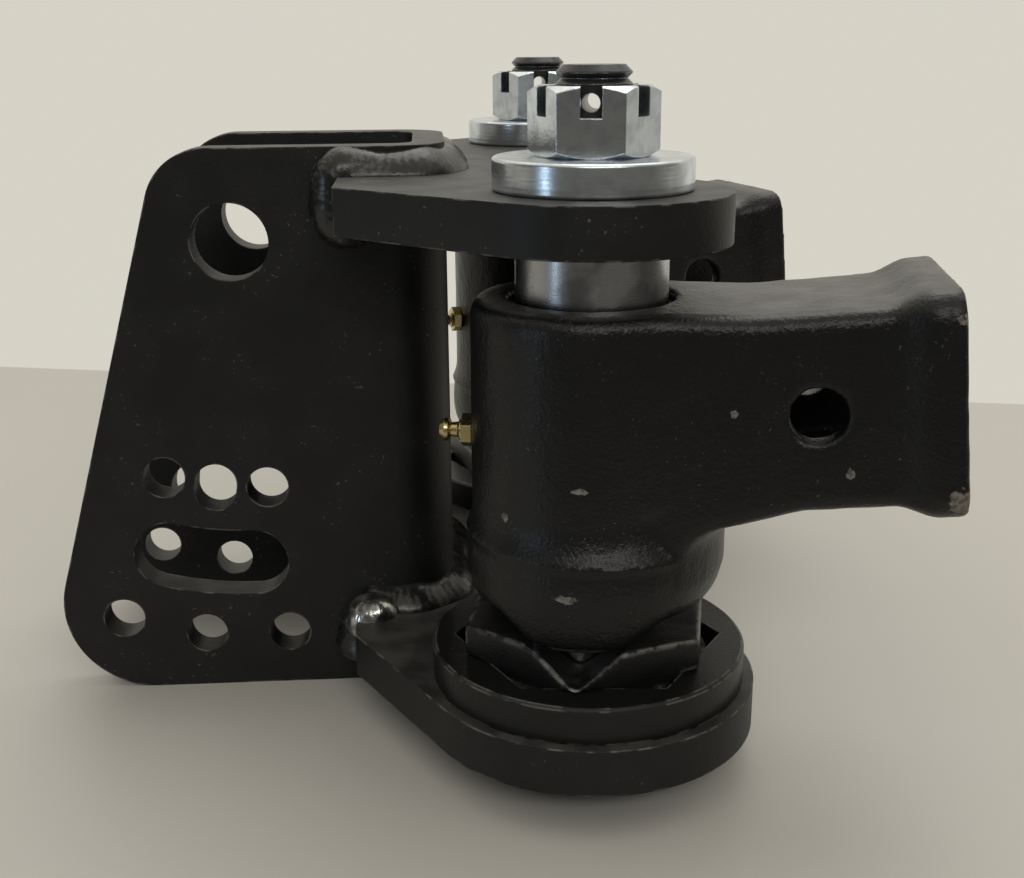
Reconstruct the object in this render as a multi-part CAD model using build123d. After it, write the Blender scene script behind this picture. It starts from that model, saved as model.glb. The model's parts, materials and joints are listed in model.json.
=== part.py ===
from build123d import *
import math
import os

os.makedirs("parts", exist_ok=True)

# Weight distribution hitch head. x points to the trailer, y to the right-hand side
# of the vehicle as seen facing the trailer, z up, in mm. The origin is the centre of the
# ball hole on the top platform's face, midway between the two upright pivot axes.

# layout
pivot_spacing = 160.0
swing_left = -12.5
swing_right = 14.0
fit_up = 0.2

# pivot bolt, castle nut, washer and sleeve
bolt_d = 19.05
bolt_head_af = 28.575
bolt_head_h = 12.1
bolt_head_turn = 10.0
bolt_over_nut = 4.8
thread_pitch = 2.54
thread_depth = 1.3
bolt_hole_d = 20.0
nut_h = 17.0
nut_slot_w = 5.2
nut_slot_depth = 7.3
nut_turn_left = -10.0
nut_turn_right = 0.0
cotter_hole_d = 4.4
cotter_turn_from_slot = -1.5
washer_d = 50.8
washer_t = 8.3
sleeve_d = 39.4
sleeve_bore_d = 19.6

# platforms
plate_t = 12.7
plate_gap = 119.6
ball_ear_r = 35.5
lower_ear_r = 46.0
ear_left_x = -66.0
ball_ear_corner = 12.6
lower_ear_corner = 24.4
ball_plate_edge_x = 33.0
lower_plate_edge_x = 40.0
ball_hole_d = 32.6
wrench_hole_d = 62.0

# bent channel that takes the shank
cheek_t = 9.5
shank_gap = 51.5
bend_inner_r = 6.5
channel_h = 165.0
channel_foot = 12.1
channel_end_x = -36.0
cheek_top_x = -116.6
cheek_bottom_x = -165.0
cheek_top_r = 18.0
cheek_bottom_r = 27.0
main_hole_d = 22.2
main_hole_x = -98.0
main_hole_z = 138.7
row_angle = 7.1
row_step = 12.0
row_upper_r = 74.0
row_slot_r = 98.0
row_lower_r = 122.0
row_hole_d = 12.4
row_middle_extra = 2.2
slot_w = 20.8
slot_half_angle = 7.5

# welds
weld_top = 7.6
weld_end = 10.0
foot_weld_end = 8.0
weld_under = 5.5
ear_under_leg = 9.0
ear_under_len = 22.0
weld_wrap = 5.0
weld_blob_r = 9.0
weld_blob_out = 4.5
weld_blob_in = 4.0
weld_blob_sink = 1.5

# cam seat and cam crown
seat_d = 86.0
seat_h = 10.0
recess_af = 63.9
recess_turn = -4.0
crown_af = 62.2
crown_rise = 8.9
key_clear = 0.2
key_corner_r = 33.2
key_drop = 3.5
crown_bore_clear = 0.3
notch_half_w = 11.8
notch_depth = 7.7
lobe_over_crown = 0.35
lobe_turn = 90.0

# socket casting
barrel_r = 31.4
barrel_top = 118.3
collar_r = 34.8
collar_offset = 1.6
collar_bottom = 38.8
collar_crease = 56.0
collar_lip = 0.9
collar_shoulder = 64.5
lobe_bottom_w = 11.4
lobe_side_angle = 50.0
lobe_blend_r = 4.5
lobe_tip_r = 1.6
lobe_inner_r = 24.0
arm_tilt = 6.0
arm_axis_z = 89.1
arm_half_w = 25.9
arm_half_h = 24.7
arm_reach = 90.6
arm_edge_r = 4.2
top_bend_r = 80.0
flare_from = 18.0
rim_length = 5.0
rim_flare = 3.2
rim_corner_r = 7.2
rim_lip_r = 1.2
mouth_w = 39.0
mouth_h = 38.0
mouth_corner_r = 4.0
mouth_depth = 56.0
pin_hole_d = 13.6
pin_hole_back = 33.6
pin_edge_r = 0.6
neck_r = 30.0
web_corner_z = 62.5
web_corner_r = 9.0
web_reach = 61.0
bushing_wall = 1.6
bushing_len = 24.0
bushing_sink = 2.5
sleeve_run = 0.06

# grease fitting
zerk_z = 80.7
zerk_thread_r = 2.65
zerk_hex_af = 8.0
zerk_reach = 9.2

# heights that follow from the stack, down and up from the ball's seat
z_ball = 0.0
z_upper = z_ball - plate_t
z_seat = z_upper - plate_gap
z_lower = z_seat - plate_t
z_head = z_lower - bolt_head_h
z_foot = z_lower - channel_foot
z_crown = z_seat + seat_h
z_plateau = z_crown + crown_rise
z_washer = z_ball + washer_t
z_nut = z_washer + nut_h
z_bolt = z_nut + bolt_over_nut
half_gap = shank_gap / 2
cheek_y = half_gap + cheek_t
pivot_y = pivot_spacing / 2
bend_outer_r = bend_inner_r + cheek_t


def prism(sketch, z0, z1):
    return Pos(0, 0, z0) * extrude(sketch, z1 - z0)


def rod(r, z0, z1):
    return prism(Circle(r), z0, z1)


def ring(r_out, r_in, z0, z1):
    return prism(Circle(r_out) - Circle(r_in), z0, z1)


def about(x, y, angle, shape):
    return Pos(x, y, 0) * (Rot(0, 0, angle) * shape)


def hexagon(af, turn):
    return RegularPolygon(af / 2 / math.cos(math.pi / 6), 6, rotation=turn)


def side_profile(points):
    """Face in the xz plane from (x, z) points."""
    return make_face(Polyline([(x, 0, z) for x, z in points], close=True))


# bent channel: a rounded U in plan, cut to the slanted side profile
def channel():
    far_left = 3 * cheek_bottom_x
    length = channel_end_x - far_left
    mid = (channel_end_x + far_left) / 2
    outer = Pos(mid, 0) * RectangleRounded(length, 2 * cheek_y, bend_outer_r)
    inner = Pos(mid - cheek_t, 0) * RectangleRounded(length, shank_gap, bend_inner_r)
    body = prism(outer - inner, 0, channel_h)
    outline = side_profile([(channel_end_x, 0), (cheek_bottom_x, 0),
                            (cheek_top_x, channel_h), (channel_end_x, channel_h)])
    keep = extrude(outline, cheek_y, both=True)
    low = keep.edges().filter_by(Axis.Y).sort_by(Axis.X)[0]
    keep = fillet(low, cheek_bottom_r)
    high = keep.edges().filter_by(Axis.Y).filter_by_position(Axis.Z, channel_h - 1,
                                                             channel_h + 1).sort_by(Axis.X)[0]
    keep = fillet(high, cheek_top_r)
    body = body & keep
    across = Plane((0, 0, 0), x_dir=(1, 0, 0), z_dir=(0, -1, 0))
    cut = [Pos(main_hole_x, main_hole_z) * Circle(main_hole_d / 2)]
    for r in (row_upper_r, row_lower_r):
        for k in (-1, 0, 1):
            a = math.radians(270 - row_angle - k * row_step)
            x = main_hole_x + r * math.cos(a)
            z = main_hole_z + r * math.sin(a)
            if r == row_upper_r and k == 0:
                long_hole = SlotOverall(row_hole_d + row_middle_extra, row_hole_d)
                cut.append(Pos(x, z) * (Rot(0, 0, math.degrees(a)) * long_hole))
            else:
                cut.append(Pos(x, z) * Circle(row_hole_d / 2))
    sweep_arc = CenterArc((main_hole_x, main_hole_z), row_slot_r,
                          270 - row_angle - slot_half_angle, 2 * slot_half_angle)
    cut.append(SlotArc(sweep_arc, slot_w))
    for c in cut:
        body -= extrude(across * c, 2 * cheek_y, both=True)
    return Pos(0, 0, z_foot) * body


def channel_clearance(z0, z1):
    far_left = 2 * cheek_bottom_x
    length = channel_end_x + fit_up - far_left
    mid = (channel_end_x + fit_up + far_left) / 2
    return prism(Pos(mid, 0) * RectangleRounded(length, 2 * (cheek_y + fit_up),
                                                bend_outer_r + fit_up), z0, z1)


def ear_outline(ear_r, corner, edge_x, corner_round):
    """Both ears and the web between them, cut square at the left end."""
    face = Pos(0, pivot_y) * Circle(ear_r) + Pos(0, -pivot_y) * Circle(ear_r)
    # tangent from the left corner to the ear's circle
    dx = ear_left_x
    dy = corner
    reach = math.hypot(dx, dy)
    turn = math.acos(ear_r / reach)
    a = math.atan2(dy, dx) + turn
    tx = ear_r * math.cos(a)
    ty = ear_r * math.sin(a)
    half = [(ear_left_x, -pivot_y + corner), (tx, -pivot_y + ty), (0, -pivot_y),
            (edge_x, -pivot_y + ear_r + 14)]
    pts = half + [(x, -y) for x, y in reversed(half)]
    face += make_face(Polyline(pts, close=True))
    inner = face.vertices().filter_by_position(Axis.X, 5, edge_x - 2)
    if len(inner):
        face = fillet(inner, corner_round)
    return face


def ball_plate():
    body = prism(ear_outline(ball_ear_r, ball_ear_corner, ball_plate_edge_x, 12.0), z_upper, z_ball)
    body -= channel_clearance(z_upper - 1, z_ball + 1)
    body -= prism(Circle(ball_hole_d / 2), z_upper - 1, z_ball + 1)
    for s in (-1, 1):
        body -= Pos(0, s * pivot_y) * prism(Circle(bolt_hole_d / 2), z_upper - 1, z_ball + 1)
    return body


def lower_plate():
    body = prism(ear_outline(lower_ear_r, lower_ear_corner, lower_plate_edge_x, 10.0), z_lower, z_seat)
    body -= channel_clearance(z_lower - 1, z_seat + 1)
    body -= prism(Circle(wrench_hole_d / 2), z_lower - 1, z_seat + 1)
    for s in (-1, 1):
        body -= Pos(0, s * pivot_y) * prism(Circle(bolt_hole_d / 2), z_lower - 1, z_seat + 1)
    return body


def bead_section(leg, up):
    """Convex fillet weld section, legs along local x and y."""
    s = 1 if up else -1
    return make_face(Polyline([(0, 0), (leg, 0), (0.68 * leg, s * 0.45 * leg),
                               (0.45 * leg, s * 0.68 * leg), (0, s * leg)], close=True))


def bead_path(x0, z):
    """Wire round the outside of the channel, from cheek to cheek."""
    xb = channel_end_x - bend_outer_r
    yb = cheek_y - bend_outer_r
    return Wire([
        Edge.make_line((x0, -cheek_y, z), (xb, -cheek_y, z)),
        Edge.make_three_point_arc((xb, -cheek_y, z),
                                  (xb + bend_outer_r * math.sin(math.pi / 4),
                                   -yb - bend_outer_r * math.cos(math.pi / 4), z),
                                  (channel_end_x, -yb, z)),
        Edge.make_line((channel_end_x, -yb, z), (channel_end_x, yb, z)),
        Edge.make_three_point_arc((channel_end_x, yb, z),
                                  (xb + bend_outer_r * math.sin(math.pi / 4),
                                   yb + bend_outer_r * math.cos(math.pi / 4), z),
                                  (xb, cheek_y, z)),
        Edge.make_line((xb, cheek_y, z), (x0, cheek_y, z))])


def round_bead(leg, z, up):
    path = bead_path(ear_left_x, z)
    start = Plane((ear_left_x, -cheek_y, z), x_dir=(0, -1, 0), z_dir=(1, 0, 0))
    section = start * bead_section(leg, not up)
    if (section.bounding_box().max.Z > z + 0.1) != up:
        section = start * bead_section(leg, up)
    return sweep(section, path=path)


def end_bead(leg, z0, z1):
    """Bead up the square end of the right ear where it meets the cheek, rounded off at both ends."""
    tri = make_face(Polyline([(0, 0), (-leg, 0), (-0.68 * leg, 0.45 * leg),
                              (-0.45 * leg, 0.68 * leg), (0, leg)], close=True))
    bead = prism(tri, z0, z1)
    for level in (0, -1):
        bead = chamfer(bead.edges().group_by(Axis.Z)[level].sort_by(Axis.X)[0], weld_wrap * 0.6)
    return Pos(ear_left_x, cheek_y, 0) * bead


def foot_bead():
    """Bead up the lower platform's end, with a blob on the corner where the welder stopped."""
    centre = (ear_left_x + weld_blob_in, cheek_y + weld_blob_out, z_seat - weld_blob_sink)
    blob = Pos(*centre) * Sphere(weld_blob_r)
    size = 4 * weld_blob_r
    blob -= Pos(ear_left_x, cheek_y - size / 2, z_seat) * Box(2 * size, size, 2 * size)
    blob -= Pos(ear_left_x + size / 2, cheek_y, z_seat - size / 2) * Box(size, 2 * size, size)
    blob -= Pos(ear_left_x, cheek_y, z_seat - 2 * weld_wrap - size / 2) * Box(2 * size, 2 * size, size)
    blob -= round_bead(weld_top, z_seat, True)
    return end_bead(foot_weld_end, z_lower - weld_wrap, z_seat) + blob


def on_side(shape, side):
    return shape if side > 0 else mirror(shape, about=Plane.XZ)


def under_bead():
    """Bead under the upper platform's ear, dying out along the cheek."""
    sections = [make_face(Polyline([(x, 0, 0), (x, leg, 0), (x, 0.68 * leg, -0.45 * leg),
                                    (x, 0.45 * leg, -0.68 * leg), (x, 0, -leg)], close=True))
                for x, leg in ((0, ear_under_leg), (ear_under_len, 0.3 * ear_under_leg))]
    return Pos(ear_left_x, cheek_y, z_upper) * loft(sections, ruled=True)


# cam seat: a disc with a six-sided recess for the crown's key
def cam_seat():
    body = prism(Circle(seat_d / 2), z_seat, z_crown)
    body = chamfer(body.edges().group_by(Axis.Z)[-1], 0.7)
    return body - prism(hexagon(recess_af, recess_turn), z_seat - 1, z_crown + 1)


# cam crown: six-sided head with a V across it, and a corner-rounded key below
def cam_crown(swing):
    v_dir = swing - lobe_turn
    head = prism(hexagon(crown_af, v_dir), z_crown, z_plateau)
    key = hexagon(recess_af - 2 * key_clear, recess_turn) & Circle(key_corner_r)
    neck = hexagon(crown_af, v_dir) & key
    body = head + prism(neck, z_crown - key_drop, z_crown) + prism(key, z_seat, z_crown - key_drop)
    deep = z_plateau - notch_depth
    shoulder = notch_half_w
    v = Polyline([(-shoulder - 8, z_plateau), (-shoulder, z_plateau), (0, deep - 1.0),
                  (shoulder, z_plateau), (shoulder + 8, z_plateau), (shoulder + 8, z_plateau + 6),
                  (-shoulder - 8, z_plateau + 6)], close=True)
    notch = make_face(v)
    rounded = notch.vertices().filter_by_position(Axis.Y, deep - 2, deep)
    notch = fillet(rounded, 2.2)
    rounded = [p for p in notch.vertices() if abs(abs(p.X) - shoulder) < 0.1
               and abs(p.Y - z_plateau) < 0.1]
    notch = fillet(rounded, 7.0)
    along = Plane((0, 0, 0), x_dir=(0, 1, 0), z_dir=(1, 0, 0))
    cutter = extrude(along * notch, 60.0, both=True)
    body -= Rot(0, 0, v_dir) * cutter
    return body - rod(sleeve_d / 2 + crown_bore_clear, z_seat - 1, z_plateau + 1)


def pivot_sleeve():
    body = ring(sleeve_d / 2, sleeve_bore_d / 2, z_seat, z_upper)
    return chamfer(body.edges().group_by(Axis.Z)[-1], 0.4)


def threaded_rod(z0, z1, turns_z0):
    """Bolt shank with ring grooves at the thread pitch over its top length."""
    r = bolt_d / 2
    pts = [(0, z0), (r, z0), (r, turns_z0)]
    z = turns_z0
    while z + thread_pitch < z1 - 1.6:
        pts += [(r - thread_depth, z + thread_pitch / 2), (r, z + thread_pitch)]
        z += thread_pitch
    pts += [(r - 0.2, z1 - 1.6), (r - 1.8, z1), (0, z1)]
    return revolve(side_profile(pts), Axis.Z)


def pivot_bolt(turn):
    shank = threaded_rod(z_lower - 0.5, z_bolt, z_nut + 0.3)
    head = prism(hexagon(bolt_head_af, bolt_head_turn), z_head, z_lower)
    r = bolt_head_af / 2
    cone = revolve(side_profile([(0, z_head), (r * 0.96, z_head), (r * 1.2, z_head + 2.2),
                                 (r * 1.2, z_lower), (0, z_lower)]), Axis.Z)
    body = shank + (head & cone)
    hole = Pos(0, 0, z_nut - nut_slot_depth / 2 - 0.3) * (Rot(0, 90, 0) * Cylinder(cotter_hole_d / 2, 60))
    return body - Rot(0, 0, turn - 90 + cotter_turn_from_slot) * hole


def castle_nut(turn):
    r = bolt_head_af / 2
    body = prism(hexagon(bolt_head_af, turn), z_washer, z_nut)
    cone = revolve(side_profile([(0, z_washer), (r * 0.98, z_washer), (r * 1.2, z_washer + 2.0),
                                 (r * 1.2, z_nut - 2.0), (r * 0.98, z_nut), (0, z_nut)]), Axis.Z)
    body = body & cone
    body -= rod(bolt_d / 2 + 0.05, z_washer - 1, z_nut + 1)
    slot = Pos(0, 0, z_nut) * Box(80, nut_slot_w, 2 * nut_slot_depth)
    for k in range(3):
        body -= Rot(0, 0, turn + 30 + 60 * k) * slot
    return body


def top_washer():
    body = ring(washer_d / 2, bolt_hole_d / 2, z_ball, z_washer)
    rim = [e for e in body.edges().filter_by(GeomType.CIRCLE) if e.radius > washer_d / 2 - 0.1]
    return fillet(rim, 0.9)


# socket casting, built with its arm along +x and turned afterwards
def arm_point(u, h):
    """(x, z) at distance u along the arm's tilted axis and h above it."""
    t = math.radians(arm_tilt)
    return (u * math.cos(t) - h * math.sin(t),
            z_lower + arm_axis_z + u * math.sin(t) + h * math.cos(t))


def tilted(u):
    """Plane square to the arm's axis at distance u."""
    t = math.radians(arm_tilt)
    x, z = arm_point(u, 0)
    return Plane((x, 0, z), x_dir=(0, 1, 0), z_dir=(math.cos(t), 0, math.sin(t)))


def arm_section(u, half_w, half_h, r):
    return tilted(u) * RectangleRounded(2 * half_w, 2 * half_h, r)


def arm_block(u0, u1, half_w, half_h, r):
    return extrude(arm_section(u0, half_w, half_h, r), u1 - u0, dir=tilted(0).z_dir)


def arm_top_z(x):
    """Height of the casting's top face: level over the barrel, then rising with the arm."""
    x0, z0 = arm_point(0, arm_half_h)
    return max(z_lower + barrel_top, z0 + (x - x0) * math.tan(math.radians(arm_tilt)))


def arm_root():
    """Barrel with the start of the arm, hollow-necked in plan and with one rounded top edge."""
    reach = barrel_r + neck_r
    uc = math.sqrt(reach ** 2 - (arm_half_w + neck_r) ** 2)
    k = barrel_r / reach
    tx, ty = uc * k, (arm_half_w + neck_r) * k
    half = math.atan2(arm_half_w + neck_r, uc) / 2 + math.pi / 4
    mx = uc - neck_r * math.cos(half)
    my = arm_half_w + neck_r - neck_r * math.sin(half)
    far = arm_reach
    plan = make_face([
        Polyline((0, ty), (0, -ty), (tx, -ty)),
        ThreePointArc((tx, -ty), (mx, -my), (uc, -arm_half_w)),
        Polyline((uc, -arm_half_w), (far, -arm_half_w), (far, arm_half_w), (uc, arm_half_w)),
        ThreePointArc((uc, arm_half_w), (mx, my), (tx, ty)),
        Line((tx, ty), (0, ty))])
    top = z_lower + barrel_top
    x0, z0 = arm_point(0, arm_half_h)
    bend_x = x0 + (top - z0) / math.tan(math.radians(arm_tilt))
    split = arm_reach - flare_from
    side = side_profile([(0, top), (bend_x, top), arm_point(split, arm_half_h),
                         arm_point(split, -arm_half_h), arm_point(0, -arm_half_h)])
    bend = side.vertices().sort_by_distance((bend_x, 0, top))[0]
    side = fillet(bend, top_bend_r)
    root = prism(plan, z_lower, z_ball) & extrude(side, barrel_r, both=True)
    under = [e for e in root.edges() if abs(abs(e.center().Y) - arm_half_w) < 0.1
             and abs(e.tangent_at(0.5).Z) < 0.3 and e.center().Z < z_lower + arm_axis_z]
    root = fillet(under, arm_edge_r)
    body = root + rod(barrel_r, z_lower + collar_shoulder - 6, top)
    rim = [e for e in body.edges()
           if abs(e.center().Z - arm_top_z(e.center().X)) < 0.4 and abs(e.tangent_at(0.5).Z) < 0.3
           and not (abs(e.center().Y) < 1.0 and e.center().X > 0)]
    return fillet(rim, arm_edge_r)


def arm_web():
    """Flare under the arm: a hollow curve turned about the collar, as wide as the arm."""
    low = z_lower + collar_bottom
    x0, z0 = arm_point(0, -arm_half_h)
    out = web_reach - collar_offset
    under = z0 + (web_reach - x0) * math.tan(math.radians(arm_tilt))
    corner = z_lower + web_corner_z
    web = side_profile([(collar_r / 2, low + 9), (collar_r, low + 9), (collar_r, corner),
                        (out, under), (out, under + arm_edge_r), (collar_r / 2, under + arm_edge_r)])
    inner = web.vertices().sort_by_distance((collar_r, 0, corner))[0]
    turned = revolve(fillet(inner, web_corner_r), Axis.Z)
    turned &= Pos(out / 2 + arm_edge_r, 0, low) * Box(out, 2 * arm_half_w, plate_gap)
    edges = [e for e in turned.edges() if abs(abs(e.center().Y) - arm_half_w) < 0.1
             and e.geom_type not in (GeomType.LINE, GeomType.CIRCLE)]
    return Pos(collar_offset, 0, 0) * fillet(edges, arm_edge_r)


def arm_end():
    """The arm's outer end, which flares to a thicker rim round the mouth."""
    split = arm_reach - flare_from
    steps = [(0.0, 0.0), (0.25, 0.1), (0.5, 0.5), (0.75, 0.9), (1.0, 1.0)]
    length = flare_from - rim_length
    sections = [arm_section(split + length * s, arm_half_w + rim_flare * g, arm_half_h + rim_flare * g,
                            arm_edge_r + (rim_corner_r - arm_edge_r) * g) for s, g in steps]
    end = arm_block(arm_reach - rim_length, arm_reach, arm_half_w + rim_flare,
                    arm_half_h + rim_flare, rim_corner_r)
    mouth_edges = end.faces().sort_by(Axis.X)[-1].edges()
    return loft(sections) + fillet(mouth_edges, rim_lip_r)


def socket():
    low = z_lower + collar_bottom
    crease = z_lower + collar_crease
    collar = loft([
        Pos(0.3, 0, low) * Circle(barrel_r + 0.1),
        Pos(collar_offset * 0.8, 0, low + 5) * Circle(collar_r - 0.9),
        Pos(collar_offset, 0, low + 10) * Circle(collar_r - 0.3),
        Pos(collar_offset, 0, crease - collar_lip) * Circle(collar_r - collar_lip),
    ])
    lip = loft([Pos(collar_offset, 0, crease - collar_lip) * Circle(collar_r - collar_lip),
                Pos(collar_offset, 0, crease) * Circle(collar_r)])
    rise = collar_shoulder - collar_crease
    fall = collar_r - barrel_r
    shoulder = loft([Pos(collar_offset, 0, crease) * Circle(collar_r),
                     Pos(collar_offset * 0.6, 0, crease + 0.4 * rise) * Circle(collar_r - 0.6 * fall),
                     Pos(0, 0, crease + rise) * Circle(barrel_r)])
    return arm_root() + (collar + lip + shoulder) + arm_web() + arm_end()


def lobes():
    """Two cam lobes under the collar, with hollow flanks that run into its underside."""
    low = z_lower + collar_bottom
    tip = z_plateau + lobe_over_crown
    half = lobe_bottom_w / 2
    wide = half + (low - tip) * math.tan(math.radians(lobe_side_angle))
    outline = make_face(Polyline([(-half, tip), (half, tip), (wide, low), (wide + lobe_blend_r, low),
                                  (wide + lobe_blend_r, low + 1), (-wide - lobe_blend_r, low + 1),
                                  (-wide - lobe_blend_r, low), (-wide, low)], close=True))
    hollow = [v for v in outline.vertices() if abs(abs(v.X) - wide) < 0.1]
    outline = fillet(hollow, lobe_blend_r)
    outline = fillet(outline.vertices().group_by(Axis.Y)[0], lobe_tip_r)
    along = Plane((0, 0, 0), x_dir=(1, 0, 0), z_dir=(0, -1, 0))
    bar = extrude(along * outline, collar_r, both=True)
    return bar & ring(barrel_r - 0.2, lobe_inner_r, tip - 1, low + 0.9)


def socket_cuts(body):
    low = z_lower + collar_bottom
    top = z_lower + barrel_top
    # bore with a bushing seat at each end
    seat_r = sleeve_d / 2 + sleeve_run + bushing_wall
    body -= rod(seat_r - 1.0, z_seat, z_upper)
    body -= rod(seat_r, z_seat, low + bushing_len)
    body -= rod(seat_r, top - bushing_len, z_upper)
    # mouth for the spring bar, and the pin hole through both its walls
    body -= arm_block(arm_reach - mouth_depth, arm_reach + rim_length,
                      mouth_w / 2, mouth_h / 2, mouth_corner_r)
    x, z = arm_point(arm_reach - pin_hole_back, 0)
    body -= Pos(x, 0, z) * (Rot(90, 0, 0) * Cylinder(pin_hole_d / 2, 4 * arm_half_w))
    rims = [e for e in body.edges().filter_by(GeomType.CIRCLE)
            if abs(e.radius - pin_hole_d / 2) < 0.01 and abs(abs(e.center().Y) - arm_half_w) < 0.1]
    body = fillet(rims, pin_edge_r)
    # tapped port for the grease fitting
    port = Cylinder(zerk_thread_r + 0.05, barrel_r / 2)
    return body - Pos(-barrel_r, 0, z_lower + zerk_z) * (Rot(0, 90, 0) * port)


def bushing(z0, z1):
    seat_r = sleeve_d / 2 + sleeve_run + bushing_wall
    return ring(seat_r, sleeve_d / 2 + sleeve_run, z0, z1)


def grease_fitting():
    """Straight nipple: thread, hexagon, neck and ball head, pointing to -x."""
    z = z_lower + zerk_z
    r = zerk_thread_r
    pts = [(0, -1.7 * r), (r, -1.7 * r), (r, 0.0), (1.13 * r, 0.0), (1.13 * r, 3.4), (0.8 * r, 4.2),
           (0.72 * r, 6.0), (1.13 * r, 6.6), (1.2 * r, 7.6), (0.83 * r, zerk_reach - 0.2),
           (0.57 * r, zerk_reach), (0, zerk_reach)]
    body = revolve(side_profile(pts), Axis.Z)
    body += prism(hexagon(zerk_hex_af, 0), 0.0, 2.9)
    bore = Cylinder(0.34 * r, 4 * zerk_reach)
    body = body - bore
    return Pos(-barrel_r, 0, z) * (Rot(0, -90, 0) * body)


parts = {}
parts["shank_channel"] = channel()
parts["ball_plate"] = ball_plate()
parts["lower_plate"] = lower_plate()
parts["upper_weld"] = round_bead(weld_top, z_ball, True)
parts["lower_weld"] = round_bead(weld_top, z_seat, True)
parts["lower_under_weld"] = round_bead(weld_under, z_lower, False)

casting = socket_cuts(socket() + lobes())
low_z = z_lower + collar_bottom
top_z = z_lower + barrel_top
low_bush = bushing(low_z + bushing_sink, low_z + bushing_len)
top_bush = bushing(top_z - bushing_len, top_z - bushing_sink)
fitting = grease_fitting()
seat = cam_seat()
sleeve = pivot_sleeve()
washer = top_washer()

sides = (("left", -1, nut_turn_left, swing_left), ("right", 1, nut_turn_right, swing_right))
for name, side, nut_turn, swing in sides:
    y = side * pivot_y
    parts[name + "_ear_weld"] = on_side(end_bead(weld_end, z_upper - weld_wrap, z_ball + weld_wrap), side)
    parts[name + "_under_weld"] = on_side(under_bead(), side)
    parts[name + "_foot_weld"] = on_side(foot_bead(), side)
    parts[name + "_cam_seat"] = Pos(0, y, 0) * seat
    parts[name + "_cam_crown"] = Pos(0, y, 0) * cam_crown(swing)
    parts[name + "_pivot_sleeve"] = Pos(0, y, 0) * sleeve
    parts[name + "_pivot_bolt"] = Pos(0, y, 0) * pivot_bolt(nut_turn)
    parts[name + "_castle_nut"] = Pos(0, y, 0) * castle_nut(nut_turn)
    parts[name + "_top_washer"] = Pos(0, y, 0) * washer
    parts[name + "_socket"] = about(0, y, swing, casting)
    parts[name + "_lower_bushing"] = Pos(0, y, 0) * low_bush
    parts[name + "_upper_bushing"] = Pos(0, y, 0) * top_bush
    parts[name + "_grease_fitting"] = about(0, y, swing, fitting)

for node, shape in parts.items():
    export_step(shape, f"parts/{node}.step")
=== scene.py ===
import functools
import json
import math

import bmesh
import bpy
import numpy as np
from mathutils import Matrix, Vector


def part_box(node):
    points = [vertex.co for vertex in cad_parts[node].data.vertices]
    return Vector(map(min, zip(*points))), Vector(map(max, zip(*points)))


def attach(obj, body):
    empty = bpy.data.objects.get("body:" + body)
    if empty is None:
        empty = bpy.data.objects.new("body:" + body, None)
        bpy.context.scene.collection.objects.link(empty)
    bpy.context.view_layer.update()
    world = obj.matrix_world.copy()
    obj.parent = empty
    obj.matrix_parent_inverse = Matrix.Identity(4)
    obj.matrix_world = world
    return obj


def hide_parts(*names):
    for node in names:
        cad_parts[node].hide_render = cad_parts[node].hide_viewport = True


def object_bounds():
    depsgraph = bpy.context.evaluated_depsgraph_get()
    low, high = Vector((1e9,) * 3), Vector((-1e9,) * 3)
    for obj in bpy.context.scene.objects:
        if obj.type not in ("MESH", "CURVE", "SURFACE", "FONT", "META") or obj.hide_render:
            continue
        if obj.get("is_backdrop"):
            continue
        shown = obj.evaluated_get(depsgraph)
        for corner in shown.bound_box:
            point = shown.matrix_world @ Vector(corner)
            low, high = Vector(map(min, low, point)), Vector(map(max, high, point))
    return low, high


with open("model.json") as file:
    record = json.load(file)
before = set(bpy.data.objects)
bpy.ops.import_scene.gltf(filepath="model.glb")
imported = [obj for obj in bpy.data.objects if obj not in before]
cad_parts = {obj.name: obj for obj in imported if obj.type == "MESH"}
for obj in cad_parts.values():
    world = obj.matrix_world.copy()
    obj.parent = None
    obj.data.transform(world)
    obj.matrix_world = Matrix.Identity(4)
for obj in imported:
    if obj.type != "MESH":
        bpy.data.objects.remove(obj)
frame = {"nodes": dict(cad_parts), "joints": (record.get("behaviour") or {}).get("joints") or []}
cad_low, cad_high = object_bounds()
node = frame["nodes"]

# Camera. It stands at the left pivot's side, a little above the ball platform, and looks across
# the head and down. Its place and angles fit the circles of both pivot stacks and the platforms.
CAMERA_PLACE = (-0.0418, -0.4019, 0.0353)
CAMERA_YAW = math.radians(3.52)
CAMERA_PITCH = math.radians(17.18)
CAMERA_ROLL = math.radians(0.45)
FOCAL_PX = 1275.8
CENTRE_PX = (507.2, 436.8)
PHOTO_W, PHOTO_H = 1024, 878


def add(name, data):
    """A new object in the scene."""
    made = bpy.data.objects.new(name, data)
    bpy.context.scene.collection.objects.link(made)
    return made


camera = add("camera", bpy.data.cameras.new("camera"))
bpy.context.scene.camera = camera
camera.data.sensor_width = 36.0
camera.data.lens = FOCAL_PX * camera.data.sensor_width / PHOTO_W
camera.data.shift_x = (PHOTO_W / 2 - CENTRE_PX[0]) / PHOTO_W
camera.data.shift_y = (CENTRE_PX[1] - PHOTO_H / 2) / PHOTO_W
camera.data.clip_start = 0.01
camera.data.clip_end = 60.0
turn = (Matrix.Rotation(-CAMERA_YAW, 4, "Z") @ Matrix.Rotation(math.pi / 2 - CAMERA_PITCH, 4, "X")
        @ Matrix.Rotation(-CAMERA_ROLL, 4, "Z"))
camera.matrix_world = Matrix.Translation(CAMERA_PLACE) @ turn


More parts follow.
